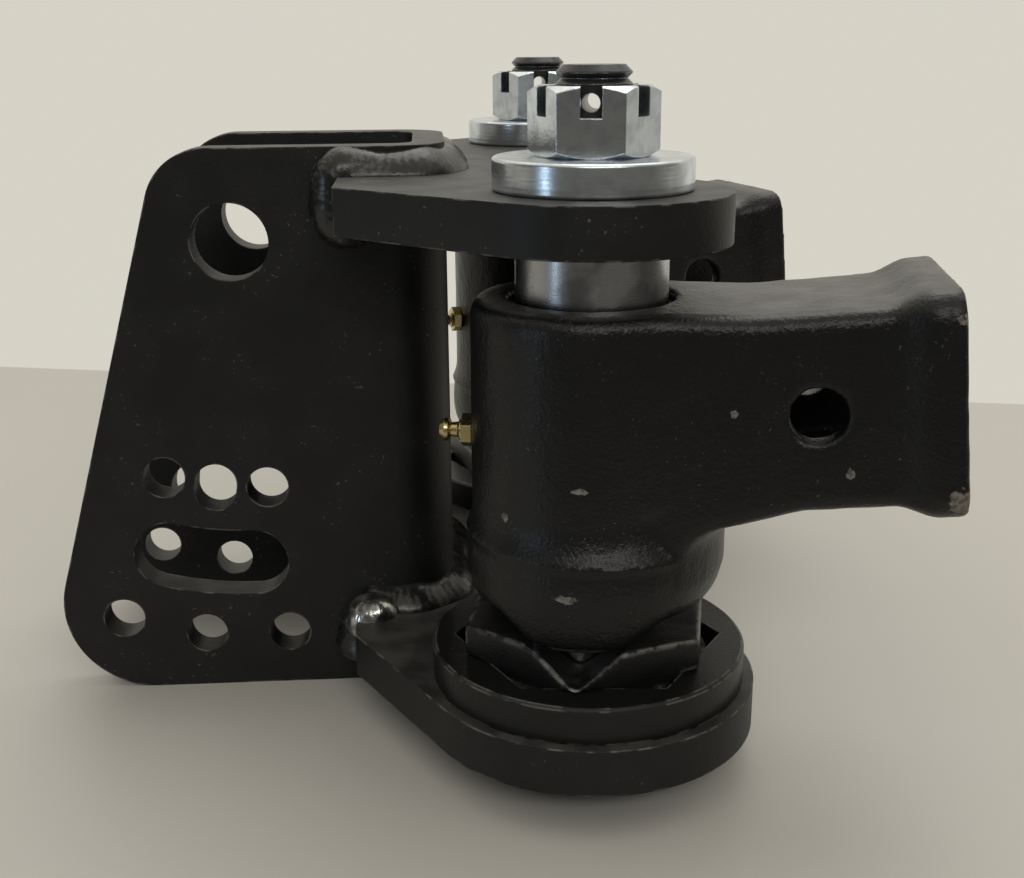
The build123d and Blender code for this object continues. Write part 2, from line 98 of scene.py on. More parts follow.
# Studio. A pale matt bench top that ends behind the head, where a pale wall begins; in front, out
# of the picture, it carries painted shade that stands in for shadow on the camera's side. One soft
# lamp overhead, a wide one behind the camera, a weak cool strip to the left, and room light that is
# weak on the camera's side, except from above.
BENCH_BACK_Y = 0.322
BENCH_BACK_SLOPE = -0.238
BENCH_REACH = 6.0
BENCH_FULL_SHADE_Y = -0.42
BENCH_NO_SHADE_Y = -0.14
BENCH_COLOUR = (0.53, 0.51, 0.475, 1.0)
# Painted shade: the bench's colour in front, darkened to stand in for shadow on the camera's side.
BENCH_PAINTED_SHADE = (0.12, 0.116, 0.108, 1.0)
WALL_COLOUR = (0.66, 0.635, 0.56, 1.0)
ROOM_ROUND = 0.16
ROOM_AWAY = 0.86
ROOM_ABOVE = 0.90
ROOM_RIGHT = 0.15
# Each lamp's name, place, width and height, watts and colour.
LAMPS = (("lamp", (0.25, 0.35, 1.25), (0.9, 0.9), 5.0, (1.0, 1.0, 1.0)),
         ("wide_lamp", (0.08, -1.15, 0.62), (1.1, 0.22), 4.2, (1.0, 0.98, 0.94)),
         ("strip", (-0.80, -0.52, 0.0), (0.07, 0.30), 0.42, (0.62, 0.80, 1.0)))


class Wire:
    """A shader socket in an expression: arithmetic on it adds Math nodes to its tree."""

    def __init__(self, tree, socket=None):
        self.tree = tree
        self.socket = socket

    def node(self, kind, settings=None, sockets=None, out=0):
        """Adds a node of this type, its settings first, then its sockets' values or links."""
        made = self.tree.nodes.new("ShaderNode" + kind)
        for name, value in (settings or {}).items():
            setattr(made, name, value)
        for name, value in (sockets or {}).items():
            if isinstance(value, Wire):
                self.tree.links.new(value.socket, made.inputs[name])
            else:
                made.inputs[name].default_value = value
        return Wire(self.tree, made.outputs[out])

    def math(self, operation, *values):
        return self.node("Math", {"operation": operation}, dict(enumerate(values)))

    def __add__(self, other):
        return self.math("ADD", self, other)

    __radd__ = __add__

    def __sub__(self, other):
        return self.math("SUBTRACT", self, other)

    def __rsub__(self, other):
        return self.math("SUBTRACT", other, self)

    def __mul__(self, other):
        return self.math("MULTIPLY", self, other)

    __rmul__ = __mul__

    def __truediv__(self, other):
        return self.math("DIVIDE", self, other)

    def __rtruediv__(self, other):
        return self.math("DIVIDE", other, self)

    def __pow__(self, other):
        return self.math("POWER", self, other)

    def vector(self, operation, *values, out="Vector"):
        """Adds a Vector Math node; out is Value where it gives a plain number."""
        return self.node("VectorMath", {"operation": operation}, dict(enumerate(values)), out)

    def part(self, k):
        """This vector's x, y or z, by number."""
        return self.node("SeparateXYZ", None, {0: self}, k)

    def step(self, low, high):
        """0 below low, 1 above high, and a smooth rise between them."""
        return self.node("MapRange", {"interpolation_type": "SMOOTHSTEP"},
                         {"Value": self, "From Min": low, "From Max": high})

    def mix(self, colour_0, colour_1):
        """The first colour where this value is 0 and the second where it is 1."""
        return self.node("Mix", {"data_type": "RGBA"}, {0: self, 6: colour_0, 7: colour_1}, out=2)


def material(name, surface, **constant):
    """A material whose surface function wires the varying sockets, with constants on the shader."""
    made = bpy.data.materials.new(name)
    made.use_nodes = True
    shader = made.node_tree.nodes["Principled BSDF"]
    for socket, value in surface(Wire(made.node_tree)).items():
        made.node_tree.links.new(value.socket, shader.inputs[socket.replace("_", " ")])
    for socket, value in constant.items():
        shader.inputs[socket.replace("_", " ")].default_value = value
    return made


def place(wire):
    """Where the surface point is, in metres in the shared frame at rest."""
    return wire.node("TexCoord", out="Object")


def grain(wire, size, detail=2.0, at=None):
    """Noise from 0 to 1 whose features are about this size in metres."""
    return wire.node("TexNoise", None, {"Vector": at or place(wire), "Scale": 1.0 / size, "Detail": detail})


def benchtop(wire):
    """Flat pale paint, a little uneven in gloss, with painted shade towards the front for the shadow on the
    camera's side.
    """
    soft = grain(wire, 0.15)
    # Painted shade: the bench darkens towards the front, between these two depths.
    behind = place(wire).part(1).step(BENCH_FULL_SHADE_Y, BENCH_NO_SHADE_Y)
    return {"Base_Color": (behind * (1.0 - 0.1 * soft)).mix(BENCH_PAINTED_SHADE, BENCH_COLOUR),
            "Roughness": 0.42 + 0.12 * soft}


back = [BENCH_BACK_Y + BENCH_BACK_SLOPE * x for x in (-BENCH_REACH, BENCH_REACH)]
bench_mesh = bpy.data.meshes.new("bench")
bench_mesh.from_pydata([(-BENCH_REACH, -BENCH_REACH, cad_low.z), (BENCH_REACH, -BENCH_REACH, cad_low.z),
                        (BENCH_REACH, back[1], cad_low.z), (-BENCH_REACH, back[0], cad_low.z)], [],
                       [(0, 1, 2, 3)])
bench = add("bench", bench_mesh)
bench_mesh.materials.append(material("bench_top", benchtop))
bench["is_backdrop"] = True

world = bpy.data.worlds.new("room")
bpy.context.scene.world = world
world.use_nodes = True
sky = Wire(world.node_tree)
ray = sky.node("TexCoord", out="Generated")
across, away, up = (ray.part(k) for k in range(3))
room_light = (ROOM_ROUND + ROOM_AWAY * away.step(0.0, 0.7) + ROOM_ABOVE * up.step(0.30, 0.80)
              + ROOM_RIGHT * across.step(0.45, 0.95))
background = world.node_tree.nodes["Background"]
background.inputs["Color"].default_value = WALL_COLOUR
world.node_tree.links.new(room_light.socket, background.inputs["Strength"])

for name, spot, size, power, colour in LAMPS:
    lamp = add(name, bpy.data.lights.new(name, "AREA"))
    lamp.data.energy = power
    lamp.data.color = colour
    lamp.data.shape = "RECTANGLE"
    lamp.data.size, lamp.data.size_y = size
    lamp.location = spot
    lamp.rotation_euler = (-Vector(spot)).to_track_quat("-Z", "Y").to_euler()
bpy.context.scene.view_settings.view_transform = "Standard"


# Shank channel and the two platforms. Hot-rolled steel plate, sawn and bent, then powder coated
# satin black; the coat is thin on the cut edges and carries dust and a few scuffs. Its edges are
# painted lighter in broken lines, partly worn coat and partly painted highlight.
COAT_BLACK = (0.0050, 0.0050, 0.0054, 1.0)
COAT_GREY = (0.010, 0.010, 0.0104, 1.0)
# Colour of dust; on the castings it also paints tiny glints.
COAT_DUST_AND_GLINTS = (0.085, 0.083, 0.078, 1.0)
# Pale edge colour: partly worn coat, partly painted highlight for the light caught by the eased edges.
EDGE_WEAR_AND_HIGHLIGHT = (0.22, 0.215, 0.205, 1.0)
EDGE_ROUND = 0.0006
EDGE_BAND = 0.0009
COAT_SPECULAR = 0.34


def soft_normal(wire, radius):
    """The surface's own normal, eased over sharp edges as a coat of paint eases them."""
    return wire.node("Bevel", {"samples": 4}, {"Radius": radius})


def edge(wire, radius, lean_low=0.02, lean_high=0.16):
    """0 on flat surfaces and near 1 along edges: how far the eased normal leans from the flat one."""
    flat = wire.node("NewGeometry", out="Normal")
    same = wire.vector("DOT_PRODUCT", soft_normal(wire, radius), flat, out="Value")
    return (1.0 - same).step(lean_low, lean_high)


def dust(wire):
    """Near 1 where the surface looks up, thinner in patches."""
    upward = wire.node("TexCoord", out="Normal").part(2)
    return upward.step(0.75, 0.97) * (0.35 + 0.65 * grain(wire, 0.011, 4.0).step(0.35, 0.65))


def bumped(wire, height, depth, normal):
    """Raises the surface by depth in metres where height is 1."""
    return wire.node("Bump", None, {"Height": height, "Distance": depth, "Normal": normal})


def powder_coat(wire):
    """Satin coat with a fine texture, dust in the broad patches, and edges painted lighter in broken lines:
    partly worn and greyer, partly painted highlight.
    """
    broad = grain(wire, 0.018, 4.0)
    fine = grain(wire, 0.0011, 2.0)
    specks = grain(wire, 0.0012, 1.0).step(0.70, 0.76) * broad.step(0.45, 0.65)
    # Edge mask: partly wear, partly painted highlight along the edges.
    wear_and_highlight = edge(wire, EDGE_BAND) * grain(wire, 0.006, 4.0).step(0.46, 0.60)
    colour = broad.step(0.3, 0.75).mix(COAT_BLACK, COAT_GREY)
    colour = (specks + 0.6 * dust(wire)).mix(colour, COAT_DUST_AND_GLINTS)
    return {"Base_Color": wear_and_highlight.mix(colour, EDGE_WEAR_AND_HIGHLIGHT),
            "Roughness": 0.40 + 0.16 * broad + 0.10 * specks - 0.08 * wear_and_highlight,
            "Normal": bumped(wire, fine + 0.5 * broad, 0.00007, soft_normal(wire, EDGE_ROUND))}


coat = material("black_powder_coat", powder_coat, Specular_IOR_Level=COAT_SPECULAR)


def dress(name, finish):
    """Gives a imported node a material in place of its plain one."""
    node[name].data.materials.clear()
    node[name].data.materials.append(finish)


for name in ("shank_channel", "ball_plate", "lower_plate"):
    dress(name, coat)


# Weld beads. Wire welds between the channel and both platforms, coated with the rest: lumpy,
# rippled once for each dip of the wire and glossier than plate. At the upper platform's ends one
# round bead turns the corner on each side, over the end of the long one.
RIPPLE = 0.0021
BEAD_STEP = 0.0005
BEAD_SINK = 0.0004
BEAD_BULGE = 1.45
BEAD_FILL = 0.88
BEAD_SWELL = 0.11
BEAD_RIPPLE = 0.009
BEAD_BOW = 0.55
BEAD_END = 0.55
BEAD_LUMPS = (0.016, 6)
BEAD_POINTS = 15
BEND_RADIUS = 0.016
ARC_POINTS = 24
WRAP_OVER = 0.018
WRAP_BEND = 0.002
WRAP_RADII = (0.0058, 0.0102, 0.0035)
WRAP_PROUD = 0.8
WRAP_FILL = 0.92
WRAP_SWELL = 0.07
WRAP_RIPPLE = 0.008
WRAP_BOW = 0.4
WRAP_LUMPS = (0.014, 6)
WRAP_POINTS = 40
SIDES = (("left", -1), ("right", 1))
WELD_BLACK = (0.008, 0.008, 0.008, 1.0)
WELD_GREY = (0.060, 0.058, 0.054, 1.0)
WELD_SPECULAR = 0.55


def swells(points, size, count, seed):
    """Sum of sine waves in random directions about this long, one value between -1 and 1 for
    each point."""
    rng = np.random.default_rng(seed)
    waves = rng.normal(size=(count, 3))
    waves *= (2 * math.pi / size * rng.uniform(0.6, 1.4, count) / np.linalg.norm(waves, axis=1))[:, None]
    return np.sin(points @ waves.T + rng.uniform(0, 2 * math.pi, count)).mean(axis=1) * 1.6


def grid_mesh(name, rows):
    """Mesh of a grid of points whose rows are closed loops; rows that shrink to a point are poles."""
    count, around = rows.shape[:2]
    corner = np.arange(count * around).reshape(count, around)
    beside = np.roll(corner, -1, axis=1)
    faces = np.stack([corner[:-1], beside[:-1], beside[1:], corner[1:]], axis=-1).reshape(-1, 4)
    mesh = bpy.data.meshes.new(name)
    mesh.from_pydata(rows.reshape(-1, 3).tolist(), [], faces.tolist())
    tidy = bmesh.new()
    tidy.from_mesh(mesh)
    bmesh.ops.remove_doubles(tidy, verts=tidy.verts, dist=1e-6)
    bmesh.ops.recalc_face_normals(tidy, faces=tidy.faces)
    tidy.to_mesh(mesh)
    tidy.free()
    mesh.shade_smooth()
    return mesh


def along(corners, radius=0.0):
    """Even stations on straight runs between corners, each corner rounded by an arc of radius.
    Gives the points and the direction of travel."""
    points = [np.array(corners[0])]
    for before, here, after in zip(corners, corners[1:], corners[2:]):
        a = np.array(before) - here
        b = np.array(after) - here
        a = a / np.linalg.norm(a)
        b = b / np.linalg.norm(b)
        centre = np.array(here) + radius * (a + b)
        sweep = np.linspace(0, math.pi / 2, ARC_POINTS)[:, None]
        points.extend(centre - radius * (b * np.cos(sweep) + a * np.sin(sweep)))
    points = np.array(points + [np.array(corners[-1])])
    run = np.concatenate([[0], np.cumsum(np.linalg.norm(np.diff(points, axis=0), axis=1))])
    even = np.linspace(0, run[-1], int(run[-1] / BEAD_STEP))
    line = np.stack([np.interp(even, run, points[:, k]) for k in range(3)], axis=1)
    travel = np.gradient(line, axis=0)
    return line, travel / np.linalg.norm(travel, axis=1)[:, None], even


def bead(line, travel, run, up, leg, side, seed):
    """Fillet bead. Its section is leg over the p-norm of the angle's cosine and sine, a quarter
    turn that bulges between the two plates, and its back is sunk a little into them. Ripples
    bow forward in the middle, slow swells vary the size, and both ends round off."""
    angle = np.linspace(0, math.pi / 2, BEAD_POINTS)
    norm = (np.cos(angle) ** BEAD_BULGE + np.sin(angle) ** BEAD_BULGE) ** (1 / BEAD_BULGE)
    out = np.cross(travel, up) * side
    wave = np.cos(2 * math.pi * (run[:, None] / RIPPLE + BEAD_BOW * np.sin(2 * angle)))
    slow = swells(line, *BEAD_LUMPS, seed)[:, None]
    factor = BEAD_FILL + BEAD_SWELL * slow + BEAD_RIPPLE * wave * np.sin(2 * angle)
    end = np.minimum(run, run[-1] - run)
    taper = np.sqrt(1 - (1 - np.clip(end / (BEAD_END * leg), 0, 1)) ** 2)[:, None]
    radius = np.minimum(factor, 1.0) / norm * leg * taper
    face = (line[:, None] + out[:, None] * (radius * np.cos(angle))[..., None]
            + np.asarray(up) * (radius * np.sin(angle))[..., None])
    sunk = BEAD_SINK * taper
    foot_out = face[:, :1] - np.asarray(up) * sunk[..., None]
    foot_up = face[:, -1:] - out[:, None] * sunk[..., None]
    inner = line[:, None] - (out[:, None] + np.asarray(up)) * sunk[..., None]
    return np.concatenate([face, foot_up, inner, foot_out], axis=1)


def wrap(line, travel, run, radius, side, seed):
    """Round bead that turns the corners of a plate's end. Its section is an ellipse about the
    line, half of it inside the cheek; faint ripples and slow swells vary the radius, and both
    ends round off."""
    angle = np.linspace(0, 2 * math.pi, WRAP_POINTS, endpoint=False)
    out = np.array([0.0, side, 0.0])
    across = np.cross(travel, out)
    end = np.minimum(run, run[-1] - run)
    taper = np.sqrt(1 - (1 - np.clip(end / radius, 0, 1)) ** 2)
    size = radius * taper * (WRAP_FILL + WRAP_SWELL * swells(line, *WRAP_LUMPS, seed))
    wave = np.cos(2 * math.pi * (run[:, None] / RIPPLE + WRAP_BOW * np.cos(angle)))
    ripple = 1 + WRAP_RIPPLE * wave
    return (line[:, None] + (size[:, None] * ripple)[..., None]
            * (WRAP_PROUD * out * np.cos(angle)[:, None] + across[:, None] * np.sin(angle)[:, None]))


def weld_paint(wire):
    """Gloss coat over spatter: dark in the hollows, greyer on the crests."""
    lumps = grain(wire, 0.007, 2.0)
    fine = grain(wire, 0.0011, 3.0)
    crest = lumps.step(0.50, 0.68)
    dusted = crest * fine.step(0.42, 0.62) + 0.5 * dust(wire)
    return {"Base_Color": dusted.mix(WELD_BLACK, WELD_GREY),
            "Roughness": 0.26 + 0.30 * fine * crest,
            "Normal": bumped(wire, lumps + 0.15 * fine, 0.0005, soft_normal(wire, EDGE_ROUND))}


weld = material("coated_weld", weld_paint, Specular_IOR_Level=WELD_SPECULAR)


def stand_in(name, mesh, finish, body="frame"):
    """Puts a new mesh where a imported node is, riding with the node's body."""
    piece = add(name + "_piece", mesh)
    mesh.materials.append(finish)
    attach(piece, body)
    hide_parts(name)
    return piece


channel_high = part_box("shank_channel")[1]
plate_low, plate_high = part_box("ball_plate")
lower_low, lower_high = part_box("lower_plate")
cheek = channel_high.y
closed_end = channel_high.x
ear_end = plate_low.x
for name, level, lift, seed in (("upper_weld", plate_high.z, 1, 11), ("lower_weld", lower_high.z, 1, 12),
                                ("lower_under_weld", lower_low.z, -1, 13)):
    low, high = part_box(name)
    route = [(ear_end, -cheek, level), (closed_end, -cheek, level), (closed_end, cheek, level),
             (ear_end, cheek, level)]
    line, travel, run = along(route, BEND_RADIUS)
    rows = bead(line, travel, run, (0, 0, lift), high.z - low.z, lift, seed)
    stand_in(name, grid_mesh(name, rows), weld)

for side_name, side in SIDES:
    wall = side * cheek
    under_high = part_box(side_name + "_under_weld")[1]
    route = [(ear_end + WRAP_OVER, wall, plate_high.z), (ear_end, wall, plate_high.z),
             (ear_end, wall, plate_low.z), (under_high.x, wall, plate_low.z)]
    line, travel, run = along(route, WRAP_BEND)
    thick = np.interp(run, [0, 0.5 * run[-1], run[-1]], WRAP_RADII)
    rows = wrap(line, travel, run, thick, side, 20 + side)
    piece = stand_in(side_name + "_ear_weld", grid_mesh(side_name + "_wrap", rows), weld)
    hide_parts(side_name + "_under_weld")


# Foot welds. The bead up the lower platform's square end finishes in a round blob of metal on
# the platform's corner, shinier than the rest because the arc was held there.
BLOB_RADIUS = 0.009
BLOB_STRETCH = (1.06, 0.95, 0.92)
BLOB_IN = 0.0045
BLOB_OUT = 0.0045
BLOB_SINK = 0.0015
BLOB_GRID = (30, 48)
BLOB_FILL = 0.93
BLOB_SWELL = 0.06
BLOB_LUMPS = (1.5, 8)
BLOB_DULL = (0.10, 0.099, 0.095, 1.0)
BLOB_BRIGHT = (0.58, 0.57, 0.54, 1.0)
FOOT_LEG = 0.008


def blob(centre, seed, side):
    """Ball of angles up and round, its radius swollen by slow waves, pressed flat where it meets
    the cheek and the platform."""
    climb = np.linspace(-math.pi / 2, math.pi / 2, BLOB_GRID[0])[:, None]
    around = np.linspace(0, 2 * math.pi, BLOB_GRID[1], endpoint=False)[None]
    ball = np.stack(np.broadcast_arrays(np.cos(climb) * np.cos(around), np.cos(climb) * np.sin(around),
                                        np.sin(climb)), axis=-1)
    lumps = swells(ball.reshape(-1, 3), *BLOB_LUMPS, seed).reshape(ball.shape[:2])
    radius = BLOB_RADIUS * (BLOB_FILL + BLOB_SWELL * lumps)
    points = np.array(centre) + ball * BLOB_STRETCH * radius[..., None]
    points[..., 1] = side * np.maximum(side * points[..., 1], cheek - BEAD_SINK)
    over = points[..., 0] > ear_end
    points[..., 2] = np.where(over, np.maximum(points[..., 2], lower_high.z - BEAD_SINK), points[..., 2])
    return points


def stretched(wire, size_x, size_y, size_z):
    """Object place divided by these sizes, for grain that is longer one way than another."""
    return wire.node("Mapping", None, {"Vector": place(wire), "Scale": (1 / size_x, 1 / size_y, 1 / size_z)})


def blob_paint(wire):
    """Bare weld metal with fine upright streaks, darker where a skin of slag is left."""
    lumps = grain(wire, 0.0065, 2.0)
    rubbed = lumps.step(0.38, 0.62)
    streaks = grain(wire, 1.0, 2.0, stretched(wire, 0.0012, 0.0012, 0.006))
    return {"Base_Color": rubbed.mix(BLOB_DULL, BLOB_BRIGHT),
            "Roughness": 0.12 + 0.14 * streaks,
            "Normal": bumped(wire, lumps + 0.3 * streaks, 0.0006, soft_normal(wire, EDGE_ROUND))}


bright_weld = material("rubbed_weld", blob_paint, Metallic=0.9)
for side_name, side in SIDES:
    name = side_name + "_foot_weld"
    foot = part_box(name)[0].z
    line, travel, run = along([(ear_end, side * cheek, foot), (ear_end, side * cheek, lower_high.z)])
    rows = bead(line, travel, run, (0, side, 0), FOOT_LEG, side, 30 + side)
    stand_in(name, grid_mesh(name, rows), weld)
    centre = (ear_end + BLOB_IN, side * (cheek + BLOB_OUT), lower_high.z - BLOB_SINK)
    drop = add(side_name + "_weld_blob", grid_mesh("blob", blob(centre, 40 + side, side)))
    drop.data.materials.append(bright_weld)
    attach(drop, "frame")


# Cam seats and crowns. Forged steel discs and six-sided cams, dipped in gloss black; the crowns'
# notches and the seats' rims are scuffed by the sockets' lobes. Their edges are painted lighter in
# broken lines, partly scuffs and partly painted highlight.
CAM_BLACK = (0.0058, 0.0058, 0.0060, 1.0)
# Light scuff colour: partly scuffed metal, partly painted highlight along the edges.
CAM_SCUFF_AND_HIGHLIGHT = (0.30, 0.29, 0.27, 1.0)
CROWN_VOXEL = 0.0006
CROWN_RELAX = 9
CROWN_BAND = 0.0016
# Height, length and number of the waves that the sand leaves.
SAND_WAVES = ((0.00012, 0.020, 9), (0.00006, 0.007, 12))


def dipped(wire, wear_and_highlight):
    """Smooth dipped paint over a forged skin, lighter where the given mask is 1: partly scuffed to metal,
    partly painted highlight.
    """
    broad = grain(wire, 0.012, 4.0)
    fine = grain(wire, 0.0011, 2.0)
    return {"Base_Color": wear_and_highlight.mix(CAM_BLACK, CAM_SCUFF_AND_HIGHLIGHT),
            "Roughness": 0.30 + 0.16 * broad,
            "Normal": bumped(wire, fine + broad, 0.00009, soft_normal(wire, EDGE_ROUND))}


def seat_paint(wire):
    """Scuffed along the turned disc's sharp edges, which also carry a painted highlight."""
    return dipped(wire, edge(wire, EDGE_BAND) * grain(wire, 0.006, 4.0).step(0.44, 0.56))


def crown_paint(wire):
    """Scuffed along the crests of the forging's round edges, which also carry a painted highlight."""
    return dipped(wire, edge(wire, CROWN_BAND, 0.004, 0.05) * grain(wire, 0.005, 4.0).step(0.42, 0.56))


def cast_skin(source, name, voxel, relax_rounds, seed, shape=None):
    """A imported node's mesh, merged, remeshed and relaxed so that its edges and roots flow as
    sand-cast metal does, then moved along its normals by two sizes of slow waves."""
    mesh = source.data.copy()
    tidy = bmesh.new()
    tidy.from_mesh(mesh)
    bmesh.ops.remove_doubles(tidy, verts=tidy.verts, dist=1e-6)
    tidy.to_mesh(mesh)
    tidy.free()
    rough = add(name, mesh)
    skin = rough.modifiers.new("skin", "REMESH")
    skin.mode = "VOXEL"
    skin.voxel_size = voxel
    relax = rough.modifiers.new("relax", "SMOOTH")
    relax.factor = 0.5
    relax.iterations = relax_rounds
    depsgraph = bpy.context.evaluated_depsgraph_get()
    cast = bpy.data.meshes.new_from_object(rough.evaluated_get(depsgraph))
    bpy.data.objects.remove(rough)
    points = np.empty(len(cast.vertices) * 3)
    cast.vertices.foreach_get("co", points)
    points = points.reshape(-1, 3)
    normals = np.empty(len(cast.vertices) * 3)
    cast.vertex_normals.foreach_get("vector", normals)
    rise = sum(height * swells(points, size, count, seed + k)
               for k, (height, size, count) in enumerate(SAND_WAVES))
    points += normals.reshape(-1, 3) * rise[:, None]
    if shape:
        shape(points)
    cast.vertices.foreach_set("co", points.ravel())
    cast.materials.clear()
    cast.shade_smooth()
    return cast


cam_black = material("dipped_cam_paint", seat_paint, Specular_IOR_Level=COAT_SPECULAR)
crown_black = material("scuffed_cam_paint", crown_paint, Specular_IOR_Level=COAT_SPECULAR)
for side_name, side in SIDES:
    dress(side_name + "_cam_seat", cam_black)
    name = side_name + "_cam_crown"
    skin = cast_skin(node[name], name, CROWN_VOXEL, CROWN_RELAX, 75 + 5 * side)
    stand_in(name, skin, crown_black)


# Pivot sleeves. Drawn steel tube, ground on the outside and wiped with grease, bright between
# the socket's top and the upper platform.
SLEEVE_STEEL = (0.46, 0.465, 0.48, 1.0)
SLEEVE_DARK = (0.24, 0.24, 0.25, 1.0)


def ground_steel(wire):
    """Grinding lines round the tube under smears of grease."""
    lines = grain(wire, 1.0, 2.0, stretched(wire, 0.02, 0.02, 0.0003))
    smear = grain(wire, 0.009, 3.0)
    return {"Base_Color": smear.step(0.4, 0.7).mix(SLEEVE_STEEL, SLEEVE_DARK),
            "Roughness": 0.16 + 0.16 * smear + 0.08 * lines,
            "Normal": bumped(wire, lines, 0.000012, soft_normal(wire, EDGE_ROUND))}


sleeve_steel = material("ground_tube", ground_steel, Metallic=1.0)
for side_name in ("left", "right"):
    dress(side_name + "_pivot_sleeve", sleeve_steel)


# Castle nuts and washers. Bright zinc on turned and forged steel: the washers show the lathe's
# rings, the nuts a frosty grain with handling marks.
ZINC_LIGHT = (0.70, 0.745, 0.79, 1.0)
ZINC_DULL = (0.55, 0.59, 0.63, 1.0)
ZINC_ROUND = 0.0004
NUT_ROUND = 0.0005
RING_PITCH = 0.0005
RING_RISE = 0.0009


def turned_zinc(axis_x, axis_y):
    def surface(wire):
        """Rings about the pivot, from the distance to its axis, under cloudy zinc."""
        local = wire.vector("SUBTRACT", place(wire), (axis_x, axis_y, 0))
        x, y, z = (local.part(k) for k in range(3))
        radius = (x * x + y * y) ** 0.5
        rings = wire.node("TexNoise", {"noise_dimensions": "1D"},
                          {"W": radius / RING_PITCH + z / RING_RISE, "Scale": 1.0, "Detail": 2.0})
        cloud = grain(wire, 0.006, 3.0)
        return {"Base_Color": cloud.step(0.42, 0.68).mix(ZINC_LIGHT, ZINC_DULL),
                "Roughness": 0.16 + 0.10 * cloud + 0.06 * rings,
                "Normal": bumped(wire, rings + 0.6 * cloud, 0.00004, soft_normal(wire, ZINC_ROUND))}
    return surface


def forged_zinc(wire):
    """Cloudy zinc with a soft hammered grain."""
    cloud = grain(wire, 0.005, 4.0)
    fine = grain(wire, 0.0007, 2.0)
    return {"Base_Color": cloud.step(0.40, 0.66).mix(ZINC_LIGHT, ZINC_DULL),
            "Roughness": 0.11 + 0.12 * cloud + 0.04 * fine,
            "Normal": bumped(wire, cloud + 0.25 * fine, 0.00008, soft_normal(wire, NUT_ROUND))}


nut_zinc = material("forged_zinc", forged_zinc, Metallic=1.0)
for side_name in ("left", "right"):
    name = side_name + "_top_washer"
    low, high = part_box(name)
    pivot = (low + high) / 2
    dress(side_name + "_castle_nut", nut_zinc)
    dress(name, material(side_name + "_turned_zinc", turned_zinc(pivot.x, pivot.y), Metallic=1.0))


# Pivot bolts. Black-oxide steel bolts from below, with paint in the threads and rubbed crests
# above the nuts.
OXIDE_BLACK = (0.040, 0.041, 0.043, 1.0)
OXIDE_RUBBED = (0.42, 0.42, 0.42, 1.0)
THREAD_BAND = 0.0004
THREAD_ROUND = 0.0003


def black_oxide(wire):
    """Oily black oxide, grey and brighter where the crests are rubbed."""
    rub = edge(wire, THREAD_BAND) * grain(wire, 0.003, 2.0).step(0.35, 0.6)
    smear = grain(wire, 0.004, 3.0)
    return {"Base_Color": rub.mix(OXIDE_BLACK, OXIDE_RUBBED),
            "Metallic": 0.6 + 0.4 * rub,
            "Roughness": 0.18 + 0.20 * smear,
            "Normal": bumped(wire, smear, 0.00006, soft_normal(wire, THREAD_ROUND))}


bolt_black = material("oiled_black_oxide", black_oxide)
for side_name in ("left", "right"):
    dress(side_name + "_pivot_bolt", bolt_black)


# Sockets. Steel castings that turn on the sleeves, dipped in gloss black: soft-edged, uneven from
# the sand, knocked in a few places and chipped to lightly rusted metal at the mouth's corners.
SKIN_VOXEL = 0.0010
SKIN_RELAX = 4
CAST_BLACK = (0.0055, 0.0055, 0.0058, 1.0)
CAST_WORN = (0.030, 0.0295, 0.029, 1.0)
CHIP_STEEL = (0.21, 0.175, 0.15, 1.0)
CHIP_PALE = (0.19, 0.185, 0.17, 1.0)
CAST_BAND = 0.0022
ARM_TILT = math.radians(6.0)
MOUTH_NEAR = 0.010
MOUTH_AT = 0.002
# Each knock in the coat: how far it lies along the arm from the pivot, outwards, and above the
# lower platform, its size, and how many times wider than high it is.
KNOCKS = ((-0.0191, 0.0249, 0.0529, 0.0016, 1.2), (0.0006, 0.0314, 0.0629, 0.0022, 2.4),
          (-0.0026, 0.0345, 0.0353, 0.0033, 2.6), (0.0370, 0.0259, 0.0824, 0.0012, 1.0),
          (0.0648, 0.0259, 0.0685, 0.0012, 0.7), (0.0868, 0.0280, 0.1068, 0.0022, 1.1),
          (0.0905, 0.0285, 0.0628, 0.0038, 0.9))
DROOP = 0.0054
DROOP_FADE = 0.009
DROOP_FROM = 0.72
DROOP_WIDTH = 0.25
COLLAR_RISE = 0.0261


def droop(points, pivot, swing, low_z, collar_z):
    """Lets the collar's lower rim sag towards each lobe. The sag is a smooth step of the cosine
    of the angle from the lobe. It is full at the rim, fades upwards, and below the rim shrinks to
    nothing at the lobe's tip."""
    around = np.arctan2(points[:, 1] - pivot[1], points[:, 0] - pivot[0]) - swing
    near = np.clip((np.abs(np.sin(around)) - DROOP_FROM) / DROOP_WIDTH, 0, 1)
    near = near ** 2 * (3 - 2 * near)
    above = 1 - np.clip((points[:, 2] - collar_z) / DROOP_FADE, 0, 1)
    below = np.clip((points[:, 2] - low_z) / (collar_z - low_z), 0, 1)
    points[:, 2] -= DROOP * near * above ** 1.5 * below


